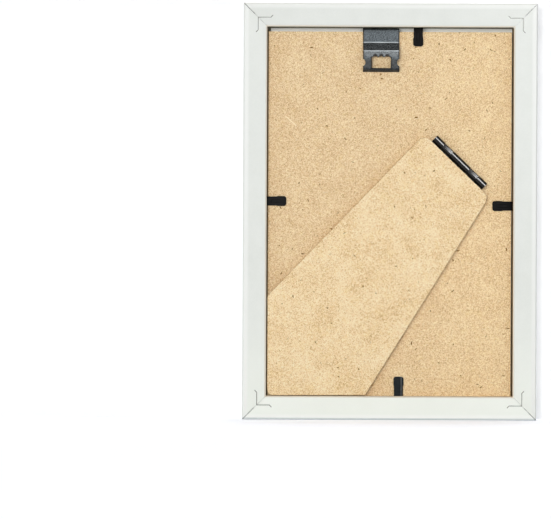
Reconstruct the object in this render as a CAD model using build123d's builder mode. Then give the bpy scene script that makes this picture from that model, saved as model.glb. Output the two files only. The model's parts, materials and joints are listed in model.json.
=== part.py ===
from build123d import *
import math
import os

# Easel back photo frame for a 10 x 15 cm picture, standing upright with its strut closed.
# X runs to the right as seen from behind, the back faces -Y, Z is up, and the origin is the
# middle of the bottom edge. All sizes are in millimetres and all angles in degrees.

# Moulding
picture_width = 100.0
picture_height = 150.0
rebate_side_play = 1.8  # rebate wider than the picture
rebate_top_play = 2.4  # rebate taller than the picture
rail_land = 9.75  # rail behind the rebate, seen from the back
rail_lip = 5.25  # cover of the lip over the glass
rail_depth = 14.0
lip_thickness = 3.5
outer_edge_radius = 0.8
sight_edge_radius = 1.0
inner_edge_chamfer = 0.6
mitre_opening = 0.16  # width of the mitre at the outer corner, closing at the sight edge

# V-nails across the mitres
nail_inset = 6.0  # apex to both outer edges
nail_arm = 5.2
nail_hook = 0.9  # run of the hooked end, along and across the arm
nail_sheet = 0.35
nail_length = 7.0

# Glass, insert and back
glass_thickness = 2.0
glass_play = 1.0  # glass smaller than the rebate, both ways
glass_arris = 0.2
insert_thickness = 0.3
insert_right_gap = 0.3
insert_top_gap = 0.2
board_thickness = 2.5
board_margin = 0.65  # board larger than the picture, both ways

# Sawtooth hanger clipped over the board's top edge
hanger_x = -3.8  # middle of the hanger from the frame's middle line
hanger_width = 15.0
hanger_sheet = 0.6
hanger_slack = 0.05  # between the sheet and the board's faces
hanger_head = 0.85  # between the bend and the board's top edge
hanger_bend = 0.7  # bend radius of the sheet's middle line
hanger_leg = 8.0  # hidden leg, down the board's front
hanger_flat = 4.65  # board edge to the first bend
hanger_riser = 3.4  # drop of the sloping step
hanger_standoff = 2.0  # room for a nail's head behind the plate
hanger_plate = 7.4  # drop of the raised plate
hanger_lip = 0.95  # drop of the lip that returns to the board
window_width = 7.8
window_height = 4.35  # sill to the cusps between the notches
window_sill = 0.3  # lip bend to the window
notch_count = 3
notch_pitch = 2.5
notch_depth = 0.65
waist_rise = 2.3  # middle of the side notches above the sill
waist_radius = 1.7
waist_depth = 1.0

# Strut hinge
hinge_length = 28.6
hinge_wall_distance = 22.07  # middle of the hinge to the right rebate wall
easel_skew = 1.1  # the strut is fitted this much off the 45 degree diagonal
pin_radius = 1.05
pin_clearance = 0.05
pin_chamfer = 0.2
crimp_clearance = 0.02  # pin to the crimped knuckles that grip it
crimp_wall = 0.4
crimp_flat = 1.32  # pin axis to the flat pressed on a crimped knuckle
crimp_turn = 22.0  # the flat faces this much away from the strut
leaf_sheet = 0.5
leaf_gap = 0.05  # between the closed leaves
leaf_reach = 13.0  # pin axis to the far edge of a leaf
leaf_notch = 2.0  # pin axis to the leaf's edge between its knuckles
curl_seam = 0.25  # slit where a rolled knuckle meets its leaf
knuckle_gap = 0.15
end_knuckle = 4.6
crimped_knuckle = 4.6
prong_width = 2.0
prong_length = 1.8
prong_inset = 3.0  # prongs from the leaf's far edge and from its notch

# Strut
strut_thickness = 2.5
strut_top_width = 37.3
strut_flare = 12.1  # lean of the right edge
strut_toe = 9.85  # foot corner to the strut's middle line, along the hinge
strut_barrel_gap = 0.25
strut_side_gap = 0.46  # foot corner to the left rebate wall
strut_floor_gap = 0.15  # foot corner to the bottom rebate wall
strut_foot_lean = 0.3  # rise of the bottom edge, from the foot corner to the heel
strut_hinge_radius = 3.7
strut_heel_radius = 0.6
strut_toe_radius = 2.7
strut_side_radius = 2.5
strut_edge_round = 0.25

# Flexible retaining tabs
tab_thickness = 0.5
tab_root_width = 3.75
tab_tip_width = 4.15
tab_tip_radius = 1.0
tab_shoulder = 4.0  # wall to where the tongue widens
tab_flare = 0.6  # length of the widening
tab_lift = 0.15  # tongue clear of the board
tab_fold = 0.45  # wall to the line where the tab bends
tab_fold_gap = 0.05  # driven blade to the tongue's round root
tab_blade = 6.0  # depth driven into the rail
tab_point = 2.0  # length of the blade's point
rib_width = 1.5
rib_height = 0.18
rib_slope = 50.0
rib_inset = 1.2  # rib from the fold line and from the tip
tab_places = {"top": 11.5, "bottom": 3.95, "left": 4.25, "right": 2.55}  # from the side's middle
tab_reaches = {"top": 7.75, "bottom": 8.0, "left": 8.1, "right": 8.45}  # wall to tip

# Overall sizes and the stack from front to back
rebate_width = picture_width + rebate_side_play
rebate_height = picture_height + rebate_top_play
frame_width = rebate_width + 2 * rail_land
frame_height = rebate_height + 2 * rail_land
rail_face = rail_land + rail_lip
back = -rail_depth / 2
rebate_floor = rail_depth / 2 - lip_thickness
glass_back = rebate_floor - glass_thickness
insert_back = glass_back - insert_thickness
board_front = insert_back - hanger_sheet - 2 * hanger_slack
board_back = board_front - board_thickness
wall_bottom = rail_land
wall_top = rail_land + rebate_height
board_top = wall_bottom + picture_height + board_margin

# Hinge line and the strut's place, worked out from the foot corner and the hinge's distance to the wall
barrel_radius = pin_radius + pin_clearance + leaf_sheet
hinge_angle = math.radians(45 - easel_skew)
hinge_dir = Vector(math.cos(hinge_angle), 0, -math.sin(hinge_angle))
strut_dir = Vector(-math.sin(hinge_angle), 0, -math.cos(hinge_angle))
hinge_x = rebate_width / 2 - hinge_wall_distance
toe_run = rebate_width - hinge_wall_distance - strut_side_gap
toe_reach = (strut_toe * math.cos(hinge_angle) + toe_run) / math.sin(hinge_angle)
toe_drop = strut_toe * math.sin(hinge_angle) + toe_reach * math.cos(hinge_angle)
hinge_z = wall_bottom + strut_floor_gap + toe_drop
hinge_axis = Vector(hinge_x, board_back - barrel_radius, hinge_z)
strut_leaf_face = board_back - leaf_sheet - leaf_gap
strut_face = strut_leaf_face - leaf_sheet

# Each side of the frame: middle of its outer edge, way inwards, way along it, outer length
sides = {
    "bottom": (Vector(0, 0, 0), Vector(0, 0, 1), Vector(1, 0, 0), frame_width),
    "right": (Vector(frame_width / 2, 0, frame_height / 2), Vector(-1, 0, 0), Vector(0, 0, 1), frame_height),
    "top": (Vector(0, 0, frame_height), Vector(0, 0, -1), Vector(-1, 0, 0), frame_width),
    "left": (Vector(-frame_width / 2, 0, frame_height / 2), Vector(1, 0, 0), Vector(0, 0, -1), frame_height),
}


def back_plane(depth):
    """Plane at a depth, seen from behind: x to the right, y up from the frame's bottom edge."""
    return Plane(origin=(0, depth, 0), x_dir=(1, 0, 0), z_dir=(0, -1, 0))


def easel_plane(depth):
    """Plane at a depth, turned with the strut: x along the hinge, y away from the strut's foot."""
    return Plane(origin=(hinge_x, depth, hinge_z), x_dir=hinge_dir, z_dir=(0, -1, 0))


def hinge_section(station):
    """Plane across the pin: x from the pin to the strut's foot, y away from the board."""
    return Plane(origin=hinge_axis + hinge_dir * station, x_dir=strut_dir, z_dir=hinge_dir * -1)


def tab_plane(side, depth):
    """Plane at a depth, on the rebate wall at a tab's middle: x into the frame's opening."""
    edge, inwards, along, _ = sides[side]
    place = Vector(abs(along.X), 0, abs(along.Z)) * tab_places[side]
    wall = edge + inwards * rail_land + place + Vector(0, depth, 0)
    return Plane(origin=wall, x_dir=inwards, z_dir=(0, -1, 0))


os.makedirs("parts", exist_ok=True)

# V-nails: bent strips driven in flush with the back, one across each mitre
nail_corner_x = nail_inset - frame_width / 2
with BuildPart() as corner_v_nails:
    with BuildSketch(back_plane(back)):
        with BuildLine():
            Polyline(
                (nail_corner_x - nail_hook, nail_inset + nail_arm + nail_hook),
                (nail_corner_x, nail_inset + nail_arm),
                (nail_corner_x, nail_inset),
                (nail_corner_x + nail_arm, nail_inset),
                (nail_corner_x + nail_arm + nail_hook, nail_inset - nail_hook),
            )
        trace(line_width=nail_sheet)
    extrude(amount=-nail_length)
    mirror(about=Plane.YZ)
    mirror(about=Plane.XY.offset(frame_height / 2))
corner_v_nails.part.label = "corner_v_nails"
export_step(corner_v_nails.part, "parts/corner_v_nails.step")

# Retaining tabs: a pointed blade driven into the rail, and the tongue that bends at the wall
tab_under = board_back - tab_lift
tab_middle = tab_under - tab_thickness / 2
tab_root = tab_fold - tab_thickness / 2
blade_end = tab_root - tab_fold_gap
tab_blades = {}
for side, reach in tab_reaches.items():
    with BuildPart() as blade:
        with BuildSketch(tab_plane(side, tab_under)):
            with BuildLine():
                Polyline(
                    (blade_end, tab_root_width / 2),
                    (tab_point - tab_blade, tab_root_width / 2),
                    (-tab_blade, 0),
                    (tab_point - tab_blade, -tab_root_width / 2),
                    (blade_end, -tab_root_width / 2),
                    close=True,
                )
            make_face()
        extrude(amount=tab_thickness)
    blade.part.label = f"tab_{side}_blade"
    export_step(blade.part, f"parts/tab_{side}_blade.step")
    tab_blades[side] = blade.part

    with BuildPart() as tab:
        with BuildSketch(tab_plane(side, tab_under)) as tongue:
            with BuildLine():
                Polyline(
                    (tab_fold, tab_root_width / 2),
                    (tab_shoulder, tab_root_width / 2),
                    (tab_shoulder + tab_flare, tab_tip_width / 2),
                    (reach, tab_tip_width / 2),
                    (reach, -tab_tip_width / 2),
                    (tab_shoulder + tab_flare, -tab_tip_width / 2),
                    (tab_shoulder, -tab_root_width / 2),
                    (tab_fold, -tab_root_width / 2),
                    close=True,
                )
            make_face()
            fillet(tongue.vertices().group_by(Axis.X)[-1], tab_tip_radius)
        extrude(amount=tab_thickness)
        fold_line = tab_plane(side, tab_middle)
        fold_line_origin = fold_line.origin + fold_line.x_dir * tab_fold
        with BuildSketch(Plane(origin=fold_line_origin, x_dir=fold_line.x_dir, z_dir=fold_line.y_dir)):
            Circle(tab_thickness / 2)
        extrude(amount=tab_root_width / 2, both=True)
        with BuildSketch(tab_plane(side, tab_under - tab_thickness)):
            with Locations(((tab_fold + reach) / 2, 0)):
                SlotOverall(reach - tab_fold - 2 * rib_inset, rib_width)
        extrude(amount=rib_height, taper=rib_slope)
    tab.part.label = f"tab_{side}"
    export_step(tab.part, f"parts/tab_{side}.step")

# Rails: one rebated section, mitred at both ends, with the V-nails and a tab blade driven into each
for side, (edge, inwards, along, length) in sides.items():
    with BuildPart() as rail:
        with BuildSketch(Plane(origin=edge, x_dir=inwards, z_dir=along)) as section:
            with BuildLine():
                Polyline(
                    (0, back),
                    (rail_face, back),
                    (rail_face, -rebate_floor),
                    (rail_land, -rebate_floor),
                    (rail_land, -back),
                    (0, -back),
                    close=True,
                )
            make_face()
            fillet(section.vertices().group_by(Axis.X)[0], outer_edge_radius)
            fillet(section.vertices().group_by(Axis.X)[-1].sort_by(Axis.Y)[0], sight_edge_radius)
            chamfer(section.vertices().group_by(Axis.Y)[-1].sort_by(Axis.X)[-1], inner_edge_chamfer)
        extrude(amount=length / 2, both=True)
        for end in (along, along * -1):
            mitre_start = edge + end * (length - mitre_opening) / 2
            mitre_normal = inwards * (rail_face - mitre_opening / 2) + end * rail_face
            split(bisect_by=Plane(origin=mitre_start, z_dir=mitre_normal), keep=Keep.BOTTOM)
        add(corner_v_nails.part, mode=Mode.SUBTRACT)
        add(tab_blades[side], mode=Mode.SUBTRACT)
    rail.part.label = f"rail_{side}"
    export_step(rail.part, f"parts/rail_{side}.step")

# Glass: stands on the bottom rebate wall, against the lip
glass_height = rebate_height - glass_play
with BuildPart() as glazing_sheet:
    with BuildSketch(back_plane(rebate_floor)):
        with Locations((0, wall_bottom + glass_height / 2)):
            Rectangle(rebate_width - glass_play, glass_height)
    extrude(amount=glass_thickness)
    chamfer(glazing_sheet.edges().filter_by(Axis.Y, reverse=True), glass_arris)
glazing_sheet.part.label = "glazing_sheet"
export_step(glazing_sheet.part, "parts/glazing_sheet.step")

# Paper insert: slipped to the right and up, so that a strip shows above the board
with BuildPart() as picture_insert:
    with BuildSketch(back_plane(glass_back)):
        with Locations(((rebate_width - picture_width) / 2 - insert_right_gap, wall_top - insert_top_gap)):
            Rectangle(picture_width, picture_height, align=(Align.CENTER, Align.MAX))
    extrude(amount=insert_thickness)
picture_insert.part.label = "picture_insert"
export_step(picture_insert.part, "parts/picture_insert.step")

# Prongs of both hinge leaves: points turned out of the leaf's ends and pressed into board and strut
hinge_half = hinge_length / 2
leaf_face = leaf_sheet + leaf_gap - barrel_radius
prong_stations = (leaf_notch + prong_inset, leaf_reach - prong_inset)
prong_rows = {
    "board": (-barrel_radius, -barrel_radius - prong_length),
    "strut": (leaf_face + leaf_sheet, leaf_face + leaf_sheet + prong_length),
}
prongs = {}
for leaf, (root, tip) in prong_rows.items():
    with BuildPart() as leaf_prongs:
        for station in (hinge_half, leaf_sheet - hinge_half):
            for reach in prong_stations:
                with BuildSketch(hinge_section(station)):
                    with BuildLine():
                        Polyline(
                            (reach - prong_width / 2, root),
                            (reach + prong_width / 2, root),
                            (reach, tip),
                            close=True,
                        )
                    make_face()
                extrude(amount=leaf_sheet)
    prongs[leaf] = leaf_prongs.part

# Backing board: stands on the bottom rebate wall, pierced by the hinge leaf's prongs
with BuildPart() as backing_board:
    with BuildSketch(back_plane(board_front)):
        with Locations((0, wall_bottom)):
            Rectangle(picture_width + board_margin, board_top - wall_bottom, align=(Align.CENTER, Align.MIN))
    extrude(amount=board_thickness)
    add(prongs["board"], mode=Mode.SUBTRACT)
backing_board.part.label = "backing_board"
export_step(backing_board.part, "parts/backing_board.step")

# Sawtooth hanger: one bent strip, from the hidden leg over the board's edge to the raised toothed plate
hanger_on_board = hanger_slack + hanger_sheet / 2
hanger_raised = hanger_on_board + hanger_standoff
hanger_front = -board_thickness - hanger_on_board
hanger_crown = -hanger_head - hanger_sheet / 2
plate_start = hanger_flat + hanger_riser
plate_end = plate_start + hanger_plate
window_floor = board_top - plate_end + window_sill
notch_radius = (notch_pitch**2 / 4 + notch_depth**2) / (2 * notch_depth)
hanger_edge = (hanger_x + hanger_width / 2, board_back, board_top)
hanger_plane = Plane(origin=hanger_edge, x_dir=(0, 0, -1), z_dir=(-1, 0, 0))
with BuildPart() as sawtooth_hanger:
    with BuildSketch(hanger_plane):
        with BuildLine():
            FilletPolyline(
                (hanger_leg, hanger_front),
                (hanger_crown, hanger_front),
                (hanger_crown, hanger_on_board),
                (hanger_flat, hanger_on_board),
                (plate_start, hanger_raised),
                (plate_end, hanger_raised),
                (plate_end + hanger_lip, hanger_on_board),
                radius=hanger_bend,
            )
        trace(line_width=hanger_sheet)
    extrude(amount=hanger_width)
    with BuildSketch(back_plane(back)):
        with Locations((hanger_x, window_floor)):
            Rectangle(window_width, window_height, align=(Align.CENTER, Align.MIN))
        with Locations((hanger_x, window_floor + window_height + notch_depth - notch_radius)):
            with GridLocations(notch_pitch, 0, notch_count, 1):
                Circle(notch_radius)
        with Locations((hanger_x, window_floor + waist_rise)):
            with GridLocations(hanger_width + 2 * (waist_radius - waist_depth), 0, 2, 1):
                Circle(waist_radius)
    extrude(amount=board_back - hanger_slack - hanger_sheet - back, dir=(0, 1, 0), mode=Mode.SUBTRACT)
sawtooth_hanger.part.label = "sawtooth_hanger"
export_step(sawtooth_hanger.part, "parts/sawtooth_hanger.step")

# Hinge: the board leaf has the end and middle knuckles, the strut leaf the crimped ones between them
crimp_start = hinge_half - end_knuckle - knuckle_gap
crimp_end = crimp_start - crimped_knuckle
middle_half = crimp_end - knuckle_gap
board_knuckles = (
    (hinge_half, end_knuckle),
    (middle_half, 2 * middle_half),
    (end_knuckle - hinge_half, end_knuckle),
)
strut_knuckles = ((crimp_start, crimped_knuckle), (-crimp_end, crimped_knuckle))
crimp_bore = pin_radius + crimp_clearance
crimp_radius = crimp_bore + crimp_wall

with BuildPart() as hinge_board_leaf:
    with BuildSketch(easel_plane(board_back)):
        with Locations((0, -leaf_notch)):
            Rectangle(hinge_length, leaf_reach - leaf_notch, align=(Align.CENTER, Align.MAX))
    extrude(amount=leaf_sheet)
    for station, length in board_knuckles:
        with BuildSketch(hinge_section(station)):
            Circle(barrel_radius)
            Circle(pin_radius + pin_clearance, mode=Mode.SUBTRACT)
            with Locations((0, leaf_sheet - barrel_radius)):
                Rectangle(barrel_radius, curl_seam, align=(Align.MIN, Align.MIN), mode=Mode.SUBTRACT)
            with Locations((0, -barrel_radius)):
                Rectangle(leaf_notch, leaf_sheet, align=(Align.MIN, Align.MIN))
        extrude(amount=length)
    add(prongs["board"])
hinge_board_leaf.part.label = "hinge_board_leaf"
export_step(hinge_board_leaf.part, "parts/hinge_board_leaf.step")

with BuildPart() as hinge_strut_leaf:
    with BuildSketch(easel_plane(strut_leaf_face)):
        with Locations((0, -leaf_notch)):
            Rectangle(hinge_length, leaf_reach - leaf_notch, align=(Align.CENTER, Align.MAX))
    extrude(amount=leaf_sheet)
    for station, length in strut_knuckles:
        with BuildSketch(hinge_section(station)):
            Circle(crimp_radius)
            Circle(crimp_bore, mode=Mode.SUBTRACT)
            with PolarLocations(crimp_flat, 1, start_angle=90 + crimp_turn):
                Rectangle(crimp_wall, 2 * crimp_radius, align=(Align.MIN, Align.CENTER), mode=Mode.SUBTRACT)
            with Locations((0, leaf_face)):
                Rectangle(crimp_radius, curl_seam, align=(Align.MIN, Align.MAX), mode=Mode.SUBTRACT)
            with Locations((crimp_bore, leaf_face)):
                Rectangle(leaf_notch - crimp_bore, leaf_sheet, align=(Align.MIN, Align.MIN))
        extrude(amount=length)
    add(prongs["strut"])
hinge_strut_leaf.part.label = "hinge_strut_leaf"
export_step(hinge_strut_leaf.part, "parts/hinge_strut_leaf.step")

with BuildPart() as hinge_pin:
    with BuildSketch(hinge_section(hinge_half)):
        Circle(pin_radius)
    extrude(amount=hinge_length)
    chamfer(hinge_pin.edges().filter_by(GeomType.CIRCLE), pin_chamfer)
hinge_pin.part.label = "hinge_pin"
export_step(hinge_pin.part, "parts/hinge_pin.step")

# Strut: its foot has a bottom edge and a left edge, so that the frame stands upright or on its side
strut_top = -barrel_radius - strut_barrel_gap
strut_half = strut_top_width / 2
flare = math.tan(math.radians(strut_flare))
foot_slope = math.tan(hinge_angle + math.radians(strut_foot_lean))
heel_run = strut_half - strut_toe + flare * strut_top
heel_y = (heel_run * foot_slope - toe_reach) / (1 + flare * foot_slope)
side_y = (strut_toe + strut_half) / math.tan(hinge_angle) - toe_reach
with BuildPart() as strut_leg:
    with BuildSketch(easel_plane(strut_face)):
        with BuildLine():
            FilletPolyline(
                (-strut_half, strut_top),
                (strut_half, strut_top),
                (strut_toe + (toe_reach + heel_y) / foot_slope, heel_y),
                (strut_toe, -toe_reach),
                (-strut_half, side_y),
                radius=(
                    strut_hinge_radius,
                    strut_hinge_radius,
                    strut_heel_radius,
                    strut_toe_radius,
                    strut_side_radius,
                ),
                close=True,
            )
        make_face()
    extrude(amount=strut_thickness)
    fillet(strut_leg.faces().sort_by(Axis.Y)[0].edges(), strut_edge_round)
    add(prongs["strut"], mode=Mode.SUBTRACT)
strut_leg.part.label = "strut_leg"
export_step(strut_leg.part, "parts/strut_leg.step")
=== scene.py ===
# %% [markdown]
# # Dressing an easel back photo frame
# The object is a small photo frame seen from behind: four white mitred rails, a tan fibreboard
# back held by four black tabs, a toothed steel hanger clipped over its top edge, and a diagonal strut
# on a pinned hinge. The packed model already holds every piece at its real size, in metres, with the
# back facing -Y and Z up. This lesson leaves those pieces where they are and gives them their looks.

# %% Load the frame
import json
import math

import bmesh
import bpy
import numpy as np
from mathutils import Matrix, Vector


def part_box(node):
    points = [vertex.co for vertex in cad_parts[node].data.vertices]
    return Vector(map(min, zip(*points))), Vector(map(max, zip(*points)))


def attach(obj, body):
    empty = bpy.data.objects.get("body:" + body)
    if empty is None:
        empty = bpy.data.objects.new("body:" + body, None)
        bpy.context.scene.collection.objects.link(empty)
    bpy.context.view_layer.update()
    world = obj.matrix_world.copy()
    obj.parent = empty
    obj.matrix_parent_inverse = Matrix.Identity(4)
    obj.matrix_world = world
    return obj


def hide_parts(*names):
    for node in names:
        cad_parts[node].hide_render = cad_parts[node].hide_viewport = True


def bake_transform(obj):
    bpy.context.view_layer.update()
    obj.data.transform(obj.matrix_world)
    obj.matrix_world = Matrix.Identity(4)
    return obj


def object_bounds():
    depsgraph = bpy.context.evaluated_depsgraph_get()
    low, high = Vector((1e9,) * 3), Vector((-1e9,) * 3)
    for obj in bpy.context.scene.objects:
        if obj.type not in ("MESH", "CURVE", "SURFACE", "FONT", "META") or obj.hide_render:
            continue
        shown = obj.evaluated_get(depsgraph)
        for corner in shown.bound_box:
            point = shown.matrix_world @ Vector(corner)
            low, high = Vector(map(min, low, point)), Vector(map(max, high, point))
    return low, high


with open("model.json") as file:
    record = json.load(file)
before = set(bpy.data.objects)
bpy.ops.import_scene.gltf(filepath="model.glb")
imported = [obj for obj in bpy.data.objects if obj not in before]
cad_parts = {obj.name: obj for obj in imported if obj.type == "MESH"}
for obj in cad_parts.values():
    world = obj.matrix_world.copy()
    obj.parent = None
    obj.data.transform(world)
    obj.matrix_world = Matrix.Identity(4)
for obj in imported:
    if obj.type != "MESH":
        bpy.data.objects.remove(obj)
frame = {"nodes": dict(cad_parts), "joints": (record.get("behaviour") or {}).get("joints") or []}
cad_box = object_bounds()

MM = 0.001
nodes = frame["nodes"]
joints = {joint["name"]: joint for joint in frame["joints"]}
print("pieces in the frame:", len(nodes), "and joints:", len(joints))
print("CAD box in mm:", [round(c / MM, 2) for corner in cad_box for c in corner])

# %% [markdown]
# ## Writing node trees as Python
# Materials and Geometry Nodes are both graphs of nodes. Linking them one by one is long to read, so one
# small class stands for an output socket. Arithmetic on it adds Math nodes, and every other node comes
# from its `node` method, which takes the settings first and then what goes into each socket.

# %% A wire that arithmetic works on
class Wire:
    """An output socket of a node tree. Arithmetic on it adds Math nodes to the same tree."""

    def __init__(self, tree, socket=None):
        self.tree = tree
        self.socket = socket

    def node(self, kind, settings=None, sockets=None, output=0):
        """Adds a node: its settings first, then a value or a link for each socket that is named."""
        made = self.tree.nodes.new(kind)
        for name, value in (settings or {}).items():
            if name == "stops":
                set_stops(made.color_ramp.elements, value)
            else:
                setattr(made, name, value)
        for name, value in (sockets or {}).items():
            if isinstance(value, Wire):
                self.tree.links.new(value.socket, made.inputs[name])
            else:
                made.inputs[name].default_value = value
        return Wire(self.tree, made.outputs[output])

    def beside(self, output):
        """Another output of the node that this wire leaves."""
        return Wire(self.tree, self.socket.node.outputs[output])

    def math(self, operation, *others):
        """A Math node on this wire and the others."""
        return self.node("ShaderNodeMath", {"operation": operation}, dict(enumerate((self, *others))))

    def vector(self, operation, *others):
        """A Vector Math node on this wire and the others."""
        return self.node("ShaderNodeVectorMath", {"operation": operation}, dict(enumerate((self, *others))))

    def __add__(self, other):
        return self.math("ADD", other)

    __radd__ = __add__

    def __mul__(self, other):
        return self.math("MULTIPLY", other)

    __rmul__ = __mul__

    def __sub__(self, other):
        return self.math("SUBTRACT", other)

    def __rsub__(self, other):
        return self.node("ShaderNodeMath", {"operation": "SUBTRACT"}, {0: other, 1: self})

    def __abs__(self):
        return self.math("ABSOLUTE")

    def scaled(self, share):
        """A vector times a number or a wire."""
        return self.node("ShaderNodeVectorMath", {"operation": "SCALE"}, {0: self, "Scale": share})

    def fade(self, start, end):
        """Smoothly from 0 at start to 1 at end."""
        sockets = {"Value": self, "From Min": start, "From Max": end}
        return self.node("ShaderNodeMapRange", {"interpolation_type": "SMOOTHSTEP"}, sockets)

    def mix(self, first, second):
        """The first colour where this wire is 0 and the second where it is 1."""
        return self.node("ShaderNodeMix", {"data_type": "RGBA"}, {0: self, 6: first, 7: second}, output=2)

    def split(self):
        """The three parts of a vector or a colour."""
        first = self.node("ShaderNodeSeparateXYZ", {}, {0: self})
        return first, first.beside(1), first.beside(2)


def set_stops(elements, stops):
    """Writes the stops of a colour ramp, as (place, colour) pairs."""
    while len(elements) < len(stops):
        elements.new(1.0)
    for element, (place, colour) in zip(elements, stops):
        element.position = place
        element.color = colour


print("a wire has the operators + - * and abs, and", [name for name in vars(Wire) if name[0] != "_"])

# %% [markdown]
# ## Colours and surface coordinates
# Colours are easier to compare with a photograph as sRGB values from 0 to 255, but shaders work on linear
# light, so one helper converts them. Every pattern is measured in millimetres on Object coordinates, which
# are the frame's own coordinates because every piece sits at the origin.

# %% Colour, material and noise helpers
def paint(red, green, blue):
    """An sRGB colour from 0 to 255 as the linear colour that a shader takes."""
    shares = [channel / 255 for channel in (red, green, blue)]
    linear = [c / 12.92 if c <= 0.04045 else ((c + 0.055) / 1.055) ** 2.4 for c in shares]
    return (*linear, 1.0)


def toned(colour, *tones):
    """An sRGB colour with a tone added to each channel, as a linear colour."""
    return paint(*[channel + tone for channel, tone in zip(colour, tones)])


def new_finish(name):
    """A new material: itself, its Principled shader and its Object coordinates in millimetres."""
    material = bpy.data.materials.new(name)
    material.use_nodes = True
    shader = material.node_tree.nodes["Principled BSDF"]
    metres = Wire(material.node_tree).node("ShaderNodeTexCoord", output="Object")
    return material, shader, metres.scaled(1 / MM)


def feed(shader, sockets):
    """Sets or links the sockets of a shader."""
    for name, value in sockets.items():
        if isinstance(value, Wire):
            shader.id_data.links.new(value.socket, shader.inputs[name])
        else:
            shader.inputs[name].default_value = value


def noise(place, size, detail=2.0, shift=0.0):
    """Cloudy noise around 0, with lumps about size millimetres across. A shift gives another pattern."""
    sockets = {"Vector": place, "W": shift, "Scale": 1 / size, "Detail": detail}
    return place.node("ShaderNodeTexNoise", {"noise_dimensions": "4D"}, sockets) - 0.5


def relief(height, depth):
    """A bump of that depth in millimetres, for a shader's Normal."""
    return height.node("ShaderNodeBump", {}, {"Height": height, "Distance": depth * MM, "Strength": 1.0})


def dress(node, material):
    """Gives a CAD piece its finish."""
    nodes[node].data.materials.clear()
    nodes[node].data.materials.append(material)


print("helpers ready; sRGB 128 is", round(paint(128, 128, 128)[0], 3), "in linear light")

# %% [markdown]
# ## White wrapped rails
# The rails are a fibreboard moulding wrapped in white foil. Painted light makes the foil a little lighter
# towards the foot, a painted highlight runs along the outer edge, and the foil turns cream where it ends on
# the inner edge. Below that the rebate is bare core, and painted shade darkens the open outer half of each
# mitre and the edge that the frame stands on. All of these can be worked out from the distances to the edges,
# so no painting by hand is needed. Each rail gets its own tones of foil and core as painted light and shade:
# the bottom rail lighter, the top one darker and greyer.

# %% Rail sizes read from the frame
half_width = cad_box[1].x / MM
frame_height = cad_box[1].z / MM
rail_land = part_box("backing_board")[0].z / MM
wall_x = half_width - rail_land
wall_z = frame_height / 2 - rail_land
rebate_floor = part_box("glazing_sheet")[1].y / MM
print("rail land", round(rail_land, 2), "mm, rebate", round(2 * wall_x, 1), "x", round(2 * wall_z, 1), "mm")

# %% White wrap
CORE_LINE = 0.5
EDGE_BAND = (2.8, 1.4)
EDGE_HIGHLIGHT_SHARE = 0.8
UNDERSIDE = (0.95, 0.7)
MITRE_LINE = 0.2
SEAM_OPENS = (0.45, 0.55)
FOOT_HEIGHT = 55.0
FOOT_LIGHT_SHARE = 0.6
FOIL_SHADE, FOIL_LIGHT, FOIL_EDGE_HIGHLIGHT = (226, 229, 221), (238, 240, 233), (241, 242, 236)
FOOT_PAINTED_LIGHT, UNDERSIDE_PAINTED_SHADE = paint(246, 250, 239), paint(222, 227, 223)
MITRE_PAINTED_SHADE, CREAM = paint(92, 92, 84), paint(240, 234, 219)


def white_wrap(name, tone, edge_tone, core_dark, core_pale):
    """Satin white foil on fibreboard core. Tones added to the foil and edge sRGB values are painted light and
    shade.
    """
    material, shader, place = new_finish(name)
    x, y, z = place.split()
    from_side = half_width - abs(x)
    from_end = frame_height / 2 - abs(z - frame_height / 2)
    from_wall = rail_land - from_side.math("MINIMUM", from_end)
    cloud = noise(place, 9.0)
    speckle = noise(place, 0.8, shift=3.0)
    foil = (cloud * 0.9 + speckle * 0.5 + 0.5).mix(
        toned(FOIL_SHADE, tone, tone, tone), toned(FOIL_LIGHT, tone, tone, tone)
    )
    # Painted light: the foil is painted lighter towards the foot.
    foil = (z.fade(FOOT_HEIGHT, 0.0) * FOOT_LIGHT_SHARE).mix(foil, FOOT_PAINTED_LIGHT)
    # Painted highlight along the rounded outer edge.
    edge_highlight = (rail_land - from_wall).fade(*EDGE_BAND) * EDGE_HIGHLIGHT_SHARE
    foil = edge_highlight.mix(foil, toned(FOIL_EDGE_HIGHLIGHT, edge_tone, edge_tone, edge_tone))
    # Painted shade along the edge that the frame stands on.
    foil = z.fade(*UNDERSIDE).mix(foil, UNDERSIDE_PAINTED_SHADE)
    # Painted shade in the open outer half of each mitre, in dashes.
    dashes = noise(place, 1.1, shift=17.0).fade(-0.2, 0.05) * 0.6 + 0.4
    seam = abs(from_side - from_end).fade(MITRE_LINE * 1.4, MITRE_LINE * 0.6)
    opened = from_wall.fade(SEAM_OPENS[0] * rail_land, SEAM_OPENS[1] * rail_land)
    seam = seam * dashes * (opened * 0.65 + 0.25)
    foil = seam.mix(foil, MITRE_PAINTED_SHADE)
    in_rebate = y.fade(rebate_floor + 0.1, rebate_floor)
    turned_in = from_wall.fade(CORE_LINE + 0.15, CORE_LINE - 0.1) * in_rebate
    foil = turned_in.mix(foil, CREAM)
    bare = from_wall.fade(0.06, 0.01) * in_rebate
    grain = noise(place, 0.5, 3.0, shift=7.0)
    core = (grain * 1.2 + 0.5).mix(paint(*core_dark), paint(*core_pale))
    height = (1 - bare) * noise(place, 0.45, shift=11.0) + bare * grain * 3.0 - seam * 3.0
    feed(shader, {
        "Base Color": bare.mix(foil, core),
        "Roughness": bare * 0.4 + speckle * 0.15 + 0.45,
        "Specular IOR Level": 0.3,
        "Normal": relief(height, 0.02),
    })
    return material


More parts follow.
